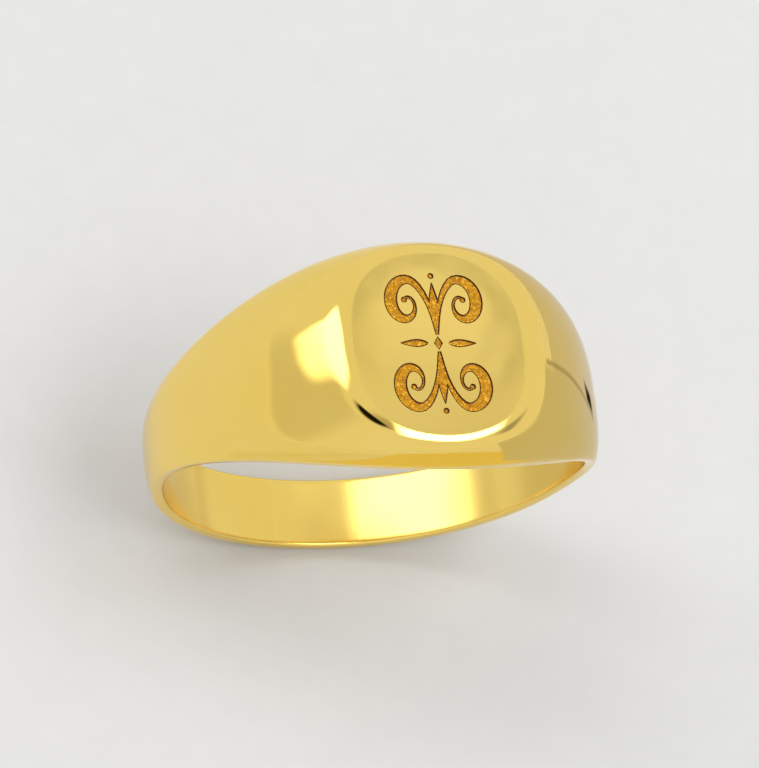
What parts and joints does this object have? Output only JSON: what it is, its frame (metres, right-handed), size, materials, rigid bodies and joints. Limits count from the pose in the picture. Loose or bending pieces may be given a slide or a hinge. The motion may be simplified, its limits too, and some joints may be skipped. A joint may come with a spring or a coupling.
{
  "type": "signet ring",
  "caption": "Signet ring: hollow head with a flat engraved table, back plate, half-round shank and a let-in sizing piece, soldered together.",
  "frame": {"origin": "centre of the finger bore: on its axis, midway between the two rims", "axes": "+Y along the finger bore, towards the fingertip; +Z from the bore's centre out through the middle of the flat signet table; +X around the finger to the wearer's right when the table faces up"},
  "size_m": [0.0188, 0.0096, 0.0197],
  "materials": {
    "polished_gold": "mirror polished yellow gold",
    "gold_solder": "polished gold solder, a shade paler than the ring",
    "engraving_fill": "granular orange-gold recess with dark outlines"
  },
  "bodies": {
    "root": {"head_shell": "polished_gold", "signet_table": "polished_gold", "ornament_inlay": "engraving_fill", "back_plate": "polished_gold", "shank_left": "polished_gold", "shank_right": "polished_gold", "sizing_piece": "polished_gold", "table_solder": "gold_solder", "back_plate_solder": "gold_solder", "shoulder_solder_left": "gold_solder", "shoulder_solder_right": "gold_solder", "sizing_solder_left": "gold_solder", "sizing_solder_right": "gold_solder"}
  },
  "joints": []
}
